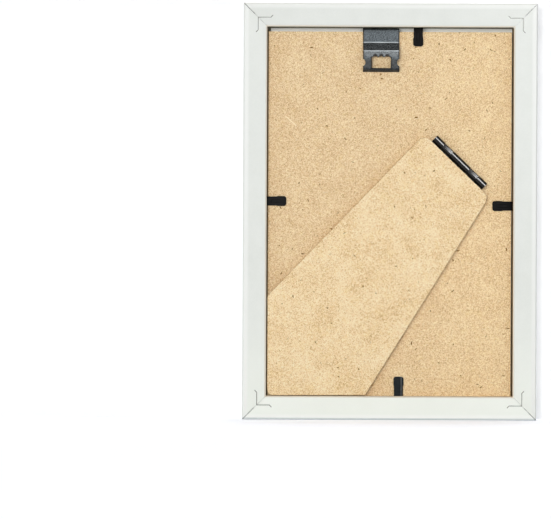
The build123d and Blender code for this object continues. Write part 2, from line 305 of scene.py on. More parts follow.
# Tone of the foil, tone of its outer edge, and the core's dark and pale colours, all painted light and shade
RAIL_PAINTED_TONES = {
    "top": (-12, -5, (122, 118, 98), (167, 168, 148)),
    "left": (-7, 0, (126, 106, 78), (172, 152, 120)),
    "right": (-9, -5, (126, 106, 78), (172, 152, 120)),
    "bottom": (8, 10, (205, 187, 156), (238, 220, 190)),
}
for side, tones in RAIL_PAINTED_TONES.items():
    dress(f"rail_{side}", white_wrap(f"white_wrap_{side}", *tones))
print("rails wrapped:", list(RAIL_PAINTED_TONES))

# %% [markdown]
# ## Fibreboard
# The back and the strut are thin fibreboard: a tan felt of short wood fibres, pressed flat. Close up it is
# a fine grain with pale curled fibres and a few dark flecks of bark lying in every direction. The grain is
# noise. A fibre is drawn in each cell of a cell pattern: the cell's random colour gives its fibre an angle,
# a length and a chance of being there at all. The back also has one long pale scratch, which is drawn where
# it is.

# %% Fibres and grain as shader functions
def drawn_fibres(place, cell, length, width, share, shift):
    """A mask of short curved fibres on the XZ plane, one in some of the cells, in millimetres."""
    x, _, z = place.split()
    wander = noise(place, 2.2, 1.0, shift=shift) * 1.1
    flat = place.node("ShaderNodeCombineXYZ", {}, {"X": x + wander + shift, "Y": z - wander})
    cells = flat.node(
        "ShaderNodeTexVoronoi", {"voronoi_dimensions": "2D"},
        {"Vector": flat, "Scale": 1 / cell}, output="Color",
    )
    turn, stretch, lot = cells.split()
    across, up, _ = flat.vector("SUBTRACT", cells.beside("Position")).split()
    angle = turn * (2 * math.pi)
    cosine = angle.math("COSINE")
    sine = angle.math("SINE")
    along = abs(across * cosine + up * sine)
    aside = abs(up * cosine - across * sine)
    reach = (stretch * 0.7 + 0.3) * length
    body = aside.fade(width, width * 0.4) * (along - reach).fade(0.0, -0.35 * length)
    return body * lot.math("LESS_THAN", share)


SCRATCH_WIDTH = (0.3, 0.1)
SCRATCH_TAPER = 0.6


def scratched_line(place, start, end):
    """A mask of a fine straight scratch on the XZ plane between two points, in millimetres."""
    x, _, z = place.split()
    length = math.dist(start, end)
    cosine, sine = [(last - first) / length for first, last in zip(start, end)]
    right, up = x - start[0], z - start[1]
    along = right * cosine + up * sine
    aside = abs(up * cosine - right * sine)
    line = aside.fade(*SCRATCH_WIDTH) * along.fade(0.0, SCRATCH_TAPER)
    return line * along.fade(length, length - SCRATCH_TAPER)


# Painted light: the back is painted a little lighter towards the right.
RIGHTWARD_LIGHT_SPAN = (-10.0, 45.0)
RIGHTWARD_LIGHT_GAIN = (1.055, 1.055, 1.03)
BLUSH, SALLOW = (34, 26, 22), (0, 2, -24)
SCRATCH_PALE = paint(255, 234, 196)


def fibreboard(name, colours, mottle, right_light, scratches):
    """Pressed fibreboard in dark, middle and pale colours; its sawn edge's dark one is deepened as painted
    shade.
    """
    dark, middle, pale, sawn_dark_and_shade = colours
    material, shader, place = new_finish(name)
    blotch = noise(place, 9.0, 3.0, shift=1.0)
    blush = noise(place, 1.6, shift=21.0).fade(-0.05, 0.3)
    sallow = noise(place, 2.4, shift=31.0).fade(-0.05, 0.3)
    grain = noise(place, 0.65, shift=2.0)
    dust = noise(place, 0.3, 1.0, shift=5.0)
    pale_fibres = drawn_fibres(place, cell=1.3, length=1.0, width=0.2, share=0.75, shift=0.0)
    shade_fibres = drawn_fibres(place, cell=1.5, length=0.9, width=0.22, share=0.6, shift=40.0)
    tone = blotch * mottle + grain * 0.4 + dust * 2.55 + pale_fibres * 0.21 - shade_fibres * 0.15 + 0.52
    stops = [(0.0, paint(*dark)), (0.5, paint(*middle)), (1.0, paint(*pale))]
    felt = tone.node("ShaderNodeValToRGB", {"stops": stops}, {"Fac": tone})
    felt = (blush * 0.2).mix(felt, toned(dark, *BLUSH))
    felt = (sallow * 0.2).mix(felt, toned(middle, *SALLOW))
    # painted light, lighter towards the right
    rightward_light = place.split()[0].fade(*RIGHTWARD_LIGHT_SPAN) * right_light
    felt = rightward_light.mix(felt, felt.vector("MULTIPLY", RIGHTWARD_LIGHT_GAIN))
    for start, end in scratches:
        felt = scratched_line(place, start, end).mix(felt, SCRATCH_PALE)
    # The sawn edge is darker fibreboard, made darker still as painted shade along the panel's edges.
    sawn = place.node("ShaderNodeAttribute", {"attribute_name": "sawn"}, output="Fac").fade(0.5, 1.0)
    layers = noise(place.vector("MULTIPLY", (0.35, 3.0, 0.35)), 0.6, shift=9.0)
    edge = (layers * 1.3 + 0.5).mix(paint(*sawn_dark_and_shade), paint(*middle))
    feed(shader, {
        "Base Color": (sawn * 0.85).mix(felt, edge),
        "Roughness": grain * 0.2 + 0.78,
        "Specular IOR Level": 0.15,
        "Normal": relief(tone + sawn * layers, 0.035),
    })
    return material


# Dark, middle and pale felt, and the sawn edge's dark, which also carries painted shade
BACK_COLOURS = [(195, 155, 108), (235, 203, 156), (254, 234, 192), (128, 96, 62)]
STRUT_COLOURS = [(206, 168, 115), (247, 217, 168), (255, 239, 202), (108, 72, 28)]
BACK_SCRATCHES = [((-43.4, 125.5), (-38.5, 121.2))]
back_felt = fibreboard("back_felt", BACK_COLOURS, mottle=0.42, right_light=1.0, scratches=BACK_SCRATCHES)
strut_felt = fibreboard("strut_felt", STRUT_COLOURS, mottle=0.85, right_light=0.0, scratches=[])
print("fibreboard finishes:", back_felt.name, strut_felt.name)

# %% [markdown]
# ## Geometry Nodes as recipes
# A Geometry Nodes tree is a recipe with named inputs. One helper makes an empty tree with those inputs,
# one ends it with real instances and a material, and another puts it on an object, sets each input by its
# socket's identifier, and keeps the evaluated result as a plain mesh, because an export drops live modifiers
# and instances.

# %% Recipe helpers
def new_recipe(name, inputs):
    """An empty Geometry Nodes tree, as a dictionary of wires from its named inputs."""
    tree = bpy.data.node_groups.new(name, "GeometryNodeTree")
    tree.interface.new_socket("Geometry", in_out="OUTPUT", socket_type="NodeSocketGeometry")
    for label, kind in {"Geometry": "Geometry", **inputs}.items():
        tree.interface.new_socket(label, in_out="INPUT", socket_type="NodeSocket" + kind)
    group = tree.nodes.new("NodeGroupInput")
    return tree, {socket.name: Wire(tree, socket) for socket in group.outputs if socket.name}


def end_recipe(tree, wire, material):
    """Makes instances real, sets the material and links the result to the tree's output."""
    real = wire.node("GeometryNodeRealizeInstances", {}, {"Geometry": wire})
    dressed = real.node("GeometryNodeSetMaterial", {}, {"Geometry": real, "Material": material})
    tree.links.new(dressed.socket, tree.nodes.new("NodeGroupOutput").inputs[0])


def linked(name, data):
    """A new object with that data, linked to the scene."""
    thing = bpy.data.objects.new(name, data)
    bpy.context.scene.collection.objects.link(thing)
    return thing


def cook(name, mesh, tree, values):
    """Runs a recipe on a mesh and returns a plain mesh object with the result."""
    piece = linked(name, mesh)
    modifier = piece.modifiers.new(tree.name, "NODES")
    modifier.node_group = tree
    for socket in tree.interface.items_tree:
        if socket.in_out == "INPUT" and socket.name in values:
            modifier[socket.identifier] = values[socket.name]
    evaluated = piece.evaluated_get(bpy.context.evaluated_depsgraph_get())
    piece.data = bpy.data.meshes.new_from_object(evaluated)
    piece.modifiers.clear()
    piece.data.name = name
    return piece


print("recipes run on plain meshes and leave plain meshes")

# %% [markdown]
# ## Sawn panels
# A CAD panel has perfect edges, but fibreboard is sawn, and its edges are ragged by up to a fifth of a
# millimetre. So both panels are made again: the outline is read from the front face of the CAD piece,
# cut into short steps, and stacked in rings that round the edges. A recipe then bites into the wall with
# noise. It only bites inwards, so that a panel never grows past its CAD piece.

# %% Outline of a CAD face
def ring_length(ring):
    """Length round a closed ring of points."""
    points = np.array(ring)
    return np.linalg.norm(np.roll(points, -1, axis=0) - points, axis=1).sum()


def face_outline(node):
    """The outer edge of a CAD piece's flat front face, as (x, z) points in order."""
    mesh = nodes[node].data
    front = max(vertex.co.y for vertex in mesh.vertices)
    edges = set()
    for triangle in mesh.polygons:
        corners = [mesh.vertices[i].co for i in triangle.vertices]
        if min(corner.y for corner in corners) > front - 0.001 * MM:
            keys = [(round(corner.x, 7), round(corner.z, 7)) for corner in corners]
            edges.update(zip(keys, keys[1:] + keys[:1]))
    following = {start: end for start, end in edges if (end, start) not in edges}
    rings = []
    while following:
        ring = [min(following)]
        while ring[-1] in following:
            ring.append(following.pop(ring[-1]))
        rings.append(ring[:-1])
    return np.array(max(rings, key=ring_length))


def in_steps(ring, step):
    """The same ring with points added, so that none are further apart than the step."""
    points = []
    for start, end in zip(ring, np.roll(ring, -1, axis=0)):
        count = max(1, math.ceil(np.linalg.norm(end - start) / step))
        points += [start + (end - start) * i / count for i in range(count)]
    return np.array(points)


print("strut outline in mm:", round(ring_length(face_outline("strut_leg")) / MM, 1))

# %% Closed meshes from rings of points
def joined_rings(name, rings):
    """A closed mesh through rings of equally many points, capped at both ends."""
    count = len(rings[0])
    faces = [list(range(count)), list(range((len(rings) - 1) * count, len(rings) * count))]
    for base in range(0, (len(rings) - 1) * count, count):
        for i in range(count):
            j = (i + 1) % count
            faces.append([base + i, base + j, base + count + j, base + count + i])
    mesh = bpy.data.meshes.new(name)
    mesh.from_pydata([point for ring in rings for point in ring], [], faces)
    shell = bmesh.new()
    shell.from_mesh(mesh)
    bmesh.ops.recalc_face_normals(shell, faces=shell.faces)
    shell.to_mesh(mesh)
    shell.free()
    return mesh


SAW_STEP = 0.35 * MM
WALL_RINGS = 6
ROUND_ANGLES = (0, 45, 90)


def panel_mesh(name, node, edge_round):
    """A closed panel with the CAD piece's outline and rounded edges, and where its wall faces."""
    low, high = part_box(node)
    ring = in_steps(face_outline(node), SAW_STEP)
    ahead = np.roll(ring, -1, axis=0) - np.roll(ring, 1, axis=0)
    outwards = np.stack([ahead[:, 1], -ahead[:, 0]], axis=1) / np.linalg.norm(ahead, axis=1)[:, None]
    if ((ring - ring.mean(axis=0)) * outwards).sum() < 0:
        outwards = -outwards
    bend = [math.radians(angle) for angle in ROUND_ANGLES]
    rounds = [(edge_round * (1 - math.sin(a)), edge_round * (1 - math.cos(a))) for a in bend]
    levels = [(inset, high.y - drop) for inset, drop in rounds]
    levels += [(0.0, y) for y in np.linspace(high.y - edge_round, low.y + edge_round, WALL_RINGS)[1:-1]]
    levels += [(inset, low.y + drop) for inset, drop in reversed(rounds)]
    rings = []
    for inset, y in levels:
        rings.append([(p[0] - o[0] * inset, y, p[1] - o[1] * inset) for p, o in zip(ring, outwards)])
    mesh = joined_rings(name, rings)
    facing = mesh.attributes.new("outwards", "FLOAT_VECTOR", "POINT")
    facing.data.foreach_set("vector", np.tile(np.insert(outwards, 1, 0.0, axis=1), (len(levels), 1)).ravel())
    sawn = mesh.attributes.new("sawn", "FLOAT", "POINT")
    sawn.data.foreach_set("value", np.repeat([1 - inset / edge_round for inset, _ in levels], len(ring)))
    return mesh


print("a panel's wall has", WALL_RINGS, "rings in steps of", round(SAW_STEP / MM, 2), "mm")

# %% Recipe: bites of the saw
def saw_bites():
    """Moves a panel's wall inwards by noise that runs through most of its thickness."""
    tree, given = new_recipe("saw_bites", {"Bite": "Float", "Grain": "Float", "Seed": "Float",
                                           "Material": "Material"})
    place = given["Geometry"].node("GeometryNodeInputPosition").vector("MULTIPLY", (1.0, 0.3, 1.0))
    sockets = {"Vector": place, "W": given["Seed"], "Scale": given["Grain"], "Detail": 3.0}
    rough = place.node("ShaderNodeTexNoise", {"noise_dimensions": "4D"}, sockets)
    attribute = {"data_type": "FLOAT_VECTOR"}
    facing = place.node("GeometryNodeInputNamedAttribute", attribute, {"Name": "outwards"})
    sawn = place.node("GeometryNodeInputNamedAttribute", {"data_type": "FLOAT"}, {"Name": "sawn"})
    depth = rough.fade(0.3, 0.75) * given["Bite"] * (sawn * 0.6 + 0.4)
    offset = facing.scaled(0.0 - depth)
    moved = place.node("GeometryNodeSetPosition", {}, {"Geometry": given["Geometry"], "Offset": offset})
    end_recipe(tree, moved, given["Material"])
    return tree


saw_recipe = saw_bites()
SAW_GRAIN = 900.0
# New piece, finish, round of its edges, body, material slot and depth of bite
PANELS = {
    "backing_board": ("back_panel", back_felt, 0.1 * MM, "frame", "hardboard", 0.08 * MM),
    "strut_leg": ("strut_panel", strut_felt, 0.2 * MM, "strut", "strut_board", 0.2 * MM),
}
panels = {}
for node, (name, felt, edge_round, body, slot, bite) in PANELS.items():
    values = {"Bite": bite, "Grain": SAW_GRAIN, "Seed": len(panels), "Material": felt}
    panel = cook(name, panel_mesh(name, node, edge_round), saw_recipe, values)
    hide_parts(node)
    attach(panel, body)
    panels[node] = panel
    print(name, "has", len(panel.data.polygons), "faces")

# %% [markdown]
# ## Loose fibres
# The longest fibres stand proud of the felt. They could be painted, but from the side they would vanish,
# so they are real slivers: a short bent curve, swept with a flat four-sided section and scattered over the
# back face of each panel at random angles. Pale fibres are many and dark flecks of bark are few.

# %% Recipe: scattered slivers
def scattered_slivers():
    """Scatters bent, tapered slivers over the faces of a panel that look along -Y."""
    tree, given = new_recipe("scattered_slivers", {"Density": "Float", "Length": "Float", "Width": "Float",
                                                   "Seed": "Int", "Material": "Material"})
    start = given["Geometry"]
    _, facing, _ = start.node("GeometryNodeInputNormal").split()
    points = start.node(
        "GeometryNodeDistributePointsOnFaces", {"distribute_method": "RANDOM"},
        {"Mesh": start, "Selection": facing.math("LESS_THAN", -0.99), "Density": given["Density"],
         "Seed": given["Seed"]},
    )
    half = given["Length"] * 0.5
    ends = [start.node("ShaderNodeCombineXYZ", {}, {"X": half * way}) for way in (-1.0, 1.0)]
    middle = start.node("ShaderNodeCombineXYZ", {}, {"Y": given["Length"] * 0.4})
    curve = start.node("GeometryNodeCurveQuadraticBezier", {},
                       {"Resolution": 4, "Start": ends[0], "Middle": middle, "End": ends[1]})
    from_middle = abs(start.node("GeometryNodeSplineParameter") - 0.5)
    section = start.node("GeometryNodeCurvePrimitiveCircle", {},
                         {"Resolution": 4, "Radius": given["Width"] * 0.5})
    sliver = start.node("GeometryNodeCurveToMesh", {}, {"Curve": curve, "Profile Curve": section,
                                                        "Scale": 1.0 - from_middle * 1.5, "Fill Caps": True})
    turn = start.node("FunctionNodeRandomValue", {"data_type": "FLOAT"},
                      {2: 0.0, 3: 2 * math.pi, "Seed": given["Seed"]}, output=1)
    spin = start.node("FunctionNodeAxisAngleToRotation", {}, {"Axis": (0.0, 0.0, 1.0), "Angle": turn})
    lie = start.node("FunctionNodeRotateRotation", {"rotation_space": "LOCAL"},
                     {"Rotation": points.beside("Rotation"), "Rotate By": spin})
    size = start.node("FunctionNodeRandomValue", {"data_type": "FLOAT_VECTOR"},
                      {0: (0.35, 0.2, 0.3), 1: (1.3, 1.2, 0.45), "Seed": given["Seed"] + 1.0})
    placed = start.node("GeometryNodeInstanceOnPoints", {},
                        {"Points": points, "Instance": sliver, "Rotation": lie, "Scale": size})
    end_recipe(tree, placed, given["Material"])
    return tree


def fibre_finish(name, dark, pale):
    """A single fibre: matte, streaked from one tone to another."""
    material, shader, place = new_finish(name)
    streak = noise(place, 0.9, shift=4.0)
    feed(shader, {
        "Base Color": (streak * 1.6 + 0.5).mix(paint(*dark), paint(*pale)),
        "Roughness": streak * 0.2 + 0.8,
        "Specular IOR Level": 0.0,
    })
    return material


sliver_recipe = scattered_slivers()
pale_fibre = fibre_finish("pale_fibre", (236, 210, 168), (254, 240, 208))
dark_fleck = fibre_finish("dark_fleck", (112, 70, 0), (150, 106, 6))
# Panel, finish, count per square metre, length, width and seed
FIBRES = {
    "back_pale_fibres": ("backing_board", pale_fibre, 60000.0, 1.9 * MM, 0.16 * MM, 11),
    "back_dark_flecks": ("backing_board", dark_fleck, 11000.0, 1.15 * MM, 0.5 * MM, 12),
    "strut_pale_fibres": ("strut_leg", pale_fibre, 45000.0, 1.9 * MM, 0.16 * MM, 21),
    "strut_dark_flecks": ("strut_leg", dark_fleck, 9000.0, 1.0 * MM, 0.46 * MM, 22),
}
for name, (node, finish, density, length, width, seed) in FIBRES.items():
    values = {"Density": density, "Length": length, "Width": width, "Seed": seed, "Material": finish}
    fibres = cook(name, panels[node].data.copy(), sliver_recipe, values)
    _, _, _, body, slot, _ = PANELS[node]
    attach(fibres, body)
    print(name, "has", len(fibres.data.polygons), "faces")

# %% [markdown]
# ## Steel
# Four kinds of steel show. The hanger is blued sheet with a fine speckle and dark cut edges. Painted
# highlights run along its bends, its sloping step is painted lighter as painted light, and painted shade
# darkens the bars beside its window and its cut edges round the window. The hinge is dipped in gloss black
# enamel, and two of its knuckles are crimped, which a bump can show. The V-nails are bare strip, seen edge
# on. The tabs, further down, are spring steel with a satin black skin; the bottom one has a painted sheen and
# a painted highlight down one edge. They differ in base colour, roughness and how much is metal, so one
# function each is enough.

# %% Blued hanger
HANGER_BENDS = (155.95, 152.4)
HANGER_X = -3.8
WINDOW_HALF = (3.9, 2.175)
WINDOW_Z = 147.42
LIP_Z = 144.95
NOTCHES_X = (-2.5, 0.0, 2.5)
NOTCH_Z, NOTCH_RADIUS = 150.15, 0.5
# The dark and the pale of the speckle on each stretch: the step's are painted light, the bars' painted shade
FLAT_TONES = ((28, 31, 33), (69, 75, 78))
STEP_LIGHT_TONES = ((34, 36, 37), (80, 83, 84))
PLATE_TONES = ((50, 53, 54), (86, 89, 90))
BAR_SHADE_TONES = ((19, 20, 20), (48, 51, 52))
CUT_EDGE_AND_SHADE, BEND_PAINTED_HIGHLIGHT = paint(24, 21, 17), paint(134, 138, 139)


def blued_steel():
    """Speckled blue-grey sheet, pale on its plate; painted light on bends and step; painted shade on bars and
    cut edges.
    """
    material, shader, place = new_finish("blued_steel")
    low, high = [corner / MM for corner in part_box("sawtooth_hanger")]
    x, y, z = place.split()
    speckle = noise(place, 0.45, 2.0)
    cloud = noise(place, 4.0, shift=2.0)
    plate = z.fade(HANGER_BENDS[1] + 0.5, HANGER_BENDS[1] - 0.5) * z.fade(NOTCH_Z - 0.9, NOTCH_Z + 0.8)
    # Painted light: the sloping step gets lighter tones than the flat.
    step = z.fade(HANGER_BENDS[0], HANGER_BENDS[0] - 0.4) * z.fade(HANGER_BENDS[1], HANGER_BENDS[1] + 0.4)
    # Painted shade: the bars beside the window get darker tones.
    shaded_bars = z.fade(NOTCH_Z - 0.2, WINDOW_Z + 0.8) * z.fade(LIP_Z, LIP_Z + 0.5)
    tones = []
    for flat_tone, step_tone, plate_tone, bar_shade_tone in zip(FLAT_TONES, STEP_LIGHT_TONES, PLATE_TONES, BAR_SHADE_TONES):
        tone = step.mix(plate.mix(paint(*flat_tone), paint(*plate_tone)), paint(*step_tone))
        tones.append(shaded_bars.mix(tone, paint(*bar_shade_tone)))
    skin = (speckle * 4.0 + cloud * 0.4 + 0.45).mix(*tones)
    side = x - HANGER_X
    window = (abs(side) - WINDOW_HALF[0]).math("MAXIMUM", abs(z - WINDOW_Z) - WINDOW_HALF[1])
    for notch in NOTCHES_X:
        aside, up = side - notch, z - NOTCH_Z
        window = window.math("MINIMUM", (aside * aside + up * up).math("SQRT") - NOTCH_RADIUS)
    half = (high.x - low.x) / 2
    # Dark cut edges, darkened further as painted shade round the window and its notches.
    cut = abs(side).fade(half - 0.55, half - 0.2).math("MAXIMUM", window.fade(0.6, 0.15))
    skin = (cut * 0.85).mix(skin, CUT_EDGE_AND_SHADE)
    # Painted highlights along the bends.
    bend_highlight = sum(abs(z - bend).fade(0.34, 0.1) * (cloud * 0.8 + 0.8) for bend in HANGER_BENDS)
    feed(shader, {
        "Base Color": (bend_highlight * 0.7).mix(skin, BEND_PAINTED_HIGHLIGHT),
        "Metallic": 0.5 - cut * 0.45,
        "Roughness": speckle * 0.3 + cut * 0.3 + 0.45,
        "Specular IOR Level": 0.15,
        "Normal": relief(speckle, 0.035),
    })
    return material


dress("sawtooth_hanger", blued_steel())
print("hanger dressed, with bends at", HANGER_BENDS, "mm")

# %% Enamelled hinge
CRIMPS = ((-9.55, -4.95), (4.95, 9.55))
CRIMP_DEPTH = 0.45
pin_middle = Vector(joints["strut_swing"]["pos_m"]) / MM
pin_along = Vector(joints["strut_swing"]["axis"])
if pin_along.x < 0:
    pin_along = -pin_along


def black_enamel(name, roughness, gloss, crimps):
    """Gloss black dip. Each crimp runs between two places along the pin and is deeper at its start."""
    material, shader, place = new_finish(name)
    skin = noise(place, 1.6, 2.0)
    offset = place.vector("SUBTRACT", pin_middle)
    dot = {"operation": "DOT_PRODUCT"}
    along = offset.node("ShaderNodeVectorMath", dot, {0: offset, 1: pin_along}, output="Value")
    height = skin * 0.012
    for start, end in crimps:
        left = (end - along).math("MAXIMUM", 0.0).math("MINIMUM", end - start)
        height = height + left * left * (CRIMP_DEPTH / (end - start) ** 2)
    feed(shader, {
        "Base Color": (skin * 1.4 + 0.5).mix(paint(11, 9, 7), paint(28, 25, 22)),
        "Roughness": skin * 0.1 + roughness,
        "Specular IOR Level": gloss,
        "Normal": relief(height, 1.0),
    })
    return material


rolled_enamel = black_enamel("rolled_enamel", roughness=0.16, gloss=0.2, crimps=())
crimped_enamel = black_enamel("crimped_enamel", roughness=0.22, gloss=0.36, crimps=CRIMPS)
dress("hinge_board_leaf", rolled_enamel)
dress("hinge_pin", rolled_enamel)
dress("hinge_strut_leaf", crimped_enamel)
print("hinge dressed, with crimps at", CRIMPS, "mm along its pin")

# %% Bare nails
def bare_strip():
    """Grey strip steel of the V-nails, dulled unevenly."""
    material, shader, place = new_finish("bare_strip")
    dull = noise(place, 0.7, 2.0)
    feed(shader, {
        "Base Color": (dull * 1.5 + 0.5).mix(paint(60, 62, 58), paint(112, 113, 108)),
        "Metallic": 0.6,
        "Roughness": dull * 0.3 + 0.5,
    })
    return material


dress("corner_v_nails", bare_strip())
print("nails dressed:", nodes["corner_v_nails"].name)

# %% [markdown]
# ## Glass and paper
# Behind the board lie a plain paper insert and a sheet of float glass. The paper shows as a strip above
# the board, and both show from the front. A thin sheet of glass does two things: it mirrors a few parts in
# a hundred of the light and lets the rest straight through. So its finish is a mirror with a low alpha, and
# a faint smear changes both. A refracting finish would leave the paper behind it dark.

# %% Glass and paper finishes
def clear_glass():
    """Float glass with a faint smear: a weak mirror, and clear for the rest."""
    material, shader, place = new_finish("clear_glass")
    smear = noise(place, 14.0, 3.0).fade(0.0, 0.3)
    feed(shader, {
        "Base Color": paint(246, 253, 249),
        "Metallic": 1.0,
        "Roughness": smear * 0.06 + 0.02,
        "Alpha": smear * 0.02 + 0.05,
    })
    return material


def insert_paper():
    """Plain white paper with a fine tooth."""
    material, shader, place = new_finish("insert_paper")
    tooth = noise(place, 0.35, 3.0)
    cloud = noise(place, 6.0, shift=1.0)
    feed(shader, {
        "Base Color": (tooth * 0.8 + cloud * 0.6 + 0.5).mix(paint(247, 247, 239), paint(255, 255, 250)),
        "Roughness": tooth * 0.1 + 0.85,
        "Specular IOR Level": 0.2,
        "Normal": relief(tooth, 0.015),
    })
    return material


dress("glazing_sheet", clear_glass())
dress("picture_insert", insert_paper())
print("glass and paper dressed")

# %% [markdown]
# ## Tabs in one strip
# Each tab is one strip of spring steel: a pointed blade driven into the rail and a tongue that lies over
# the board. The CAD model cuts it in two at the fold, so that the tongue can turn. Here it is one strip
# again, made of stations along its length, with many of them across the fold.

# %% Strip of stations
INWARDS = {"top": (0, 0, -1), "bottom": (0, 0, 1), "left": (1, 0, 0), "right": (-1, 0, 0)}
TONGUE_SHOULDER = 3.55 * MM
TONGUE_FLARE = 0.6 * MM
BLADE_POINT = 2.0 * MM
TIP_RADIUS = 1.0 * MM
STRIP_EDGE = 0.1 * MM
RIB_FOOT, RIB_TOP = 0.75 * MM, 0.5 * MM
RIB_HEIGHT = 0.16 * MM
RIB_INSET, RIB_RUN = 1.2 * MM, 0.5 * MM
POINT_SHARE = 0.03
FOLD_SPAN, FOLD_STATIONS = (-0.6 * MM, 1.2 * MM), 14
TIP_STATIONS = 8
TIP_CUT = 0.004 * TIP_RADIUS


def ramp(value, start, end):
    """From 0 at start to 1 at end, held at both ends."""
    return min(1.0, max(0.0, (value - start) / (end - start)))


def strip_section(half, thickness, rib):
    """Points round the strip: (across, up) from the middle of its underside."""
    edge = min(STRIP_EDGE, half * 0.4)
    foot, top = min(RIB_FOOT, half * 0.5), min(RIB_TOP, half * 0.4)
    upper = [(half - edge, thickness), (foot, thickness), (top, thickness + rib)]
    side = [(half - edge, 0.0), (half, edge), (half, thickness - edge)]
    right = side + upper
    return right + [(-across, up) for across, up in reversed(right)]


def tab_strip(side):
    """One tab as a closed strip through stations from its point to its tip."""
    inwards = Vector(INWARDS[side])
    across = inwards.cross(Vector((0, -1, 0)))
    fold = Vector(joints[f"tab_{side}_bend"]["pos_m"])
    tongue = [(corner - fold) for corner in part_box(f"tab_{side}")]
    blade = [(corner - fold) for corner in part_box(f"tab_{side}_blade")]
    tip = max(corner.dot(inwards) for corner in tongue)
    point = min(corner.dot(inwards) for corner in blade)
    tip_half = abs((tongue[1] - tongue[0]).dot(across)) / 2
    root_half = abs((blade[1] - blade[0]).dot(across)) / 2
    thickness = blade[1].y - blade[0].y
    underside = fold.y + blade[1].y
    stations = [point, point + BLADE_POINT, *np.linspace(*FOLD_SPAN, FOLD_STATIONS)]
    stations += [RIB_INSET + RIB_RUN, TONGUE_SHOULDER, TONGUE_SHOULDER + TONGUE_FLARE]
    turns = np.linspace(0, math.pi / 2, TIP_STATIONS)[:-1]
    stations += [tip - TIP_RADIUS * (1 - math.sin(turn)) for turn in turns]
    stations += [tip - TIP_CUT]
    rings = []
    for s in sorted(stations):
        half = root_half * max(POINT_SHARE, ramp(s, point, point + BLADE_POINT))
        half += (tip_half - root_half) * ramp(s, TONGUE_SHOULDER, TONGUE_SHOULDER + TONGUE_FLARE)
        past = max(0.0, s - (tip - TIP_RADIUS))
        half -= TIP_RADIUS - math.sqrt(max(0.0, TIP_RADIUS**2 - past**2))
        rib = RIB_HEIGHT * ramp(s, RIB_INSET, RIB_INSET + RIB_RUN)
        rib *= ramp(s, tip - RIB_INSET, tip - RIB_INSET - RIB_RUN)
        ring = []
        for aside, up in strip_section(half, thickness, rib):
            spot = fold + inwards * s + across * aside
            ring.append((spot.x, underside - up, spot.z))
        rings.append(ring)
    return joined_rings(f"tab_{side}_strip", rings), fold, inwards


print("a tab has", FOLD_STATIONS, "stations across its fold and", TIP_STATIONS, "at its tip")

# %% Satin black tabs
TAB_HIGHLIGHT_X = 5.05
TAB_PAINTED_HIGHLIGHT = paint(128, 132, 134)


def satin_black(name, dark, pale, highlight_strength):
    """Satin black skin on spring steel, with a painted highlight of that strength down one edge."""
    material, shader, place = new_finish(name)
    x, _, _ = place.split()
    skin = noise(place, 0.5, 2.0)
    wear = noise(place, 1.8, shift=6.0)
    # Painted highlight down one edge, where the rib catches the light.
    painted_highlight = abs(x - TAB_HIGHLIGHT_X).fade(0.3, 0.1) * (wear * 1.5 + 0.7) * highlight_strength
    feed(shader, {
        "Base Color": painted_highlight.mix((skin * 1.2 + 0.5).mix(paint(*dark), paint(*pale)), TAB_PAINTED_HIGHLIGHT),
        "Roughness": wear * 0.25 + 0.55,
        "Specular IOR Level": 0.04,
        "Normal": relief(skin, 0.015),
    })
    return material


# Dark and pale colour of the skin, paler and bluer on the bottom tab as a painted sheen, and the strength of
# its painted highlight
TAB_SKINS = {
    "top": ((3, 3, 3), (9, 8, 7), 0.0),
    "bottom": ((21, 26, 29), (39, 44, 47), 0.55),
    "left": ((16, 15, 15), (30, 29, 28), 0.0),
    "right": ((3, 3, 3), (9, 8, 7), 0.0),
}
for side, skin in TAB_SKINS.items():
    mesh, fold, inwards = tab_strip(side)
    mesh.materials.append(satin_black(f"satin_black_{side}", *skin))
    strip = linked(mesh.name, mesh)
    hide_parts(f"tab_{side}", f"tab_{side}_blade")
    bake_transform(strip)
    print(mesh.name, "has", len(mesh.polygons), "faces")

# %% [markdown]
# ## Stage
# The frame stands on a pale floor, with a white sheet just beyond its front that takes the soft shadow at
# its right. Both are plain pale surfaces, and a little light of their own, for camera, glossy and
# transmission rays only, brings open floor up to white while the shadow stays. The sheet can be seen only
# from behind the frame and lights nothing, so that the front is free.

# %% Floor and sheet
STAGE_SIZE = 3.0
SHEET_GAP = 0.3 * MM
FLOOR_COLOUR, FLOOR_LIFT = (0.785, 0.815, 0.895, 1.0), 0.435
SHEET_COLOUR, SHEET_LIFT = (0.94, 0.94, 0.94, 1.0), 0.14


def seen_rays(start):
    """1 for the rays that see the background: camera, glossy and transmission rays."""
    camera_ray = start.node("ShaderNodeLightPath", output="Is Camera Ray")
    seen = camera_ray.math("MAXIMUM", camera_ray.beside("Is Glossy Ray"))
    return seen.math("MAXIMUM", camera_ray.beside("Is Transmission Ray"))


def stage_finish(name, colour, lift, one_sided):
    """Pale paper that is brought up to pure white for the rays that see the background."""
    material = bpy.data.materials.new(name)
    material.use_nodes = True
    tree = material.node_tree
    tree.nodes.remove(tree.nodes["Principled BSDF"])
    start = Wire(tree)
    paper = start.node("ShaderNodeBsdfDiffuse", {}, {"Color": colour})
    sockets = {"Color": (1.0, 1.0, 1.0, 1.0), "Strength": seen_rays(start) * lift}
    glow = start.node("ShaderNodeEmission", {}, sockets)
    surface = start.node("ShaderNodeAddShader", {}, {0: paper, 1: glow})
    if one_sided:
        rear = start.node("ShaderNodeNewGeometry", output="Backfacing")
        clear = start.node("ShaderNodeBsdfTransparent")
        surface = start.node("ShaderNodeMixShader", {}, {0: rear, 1: surface, 2: clear})
    tree.links.new(surface.socket, tree.nodes["Material Output"].inputs["Surface"])
    return material


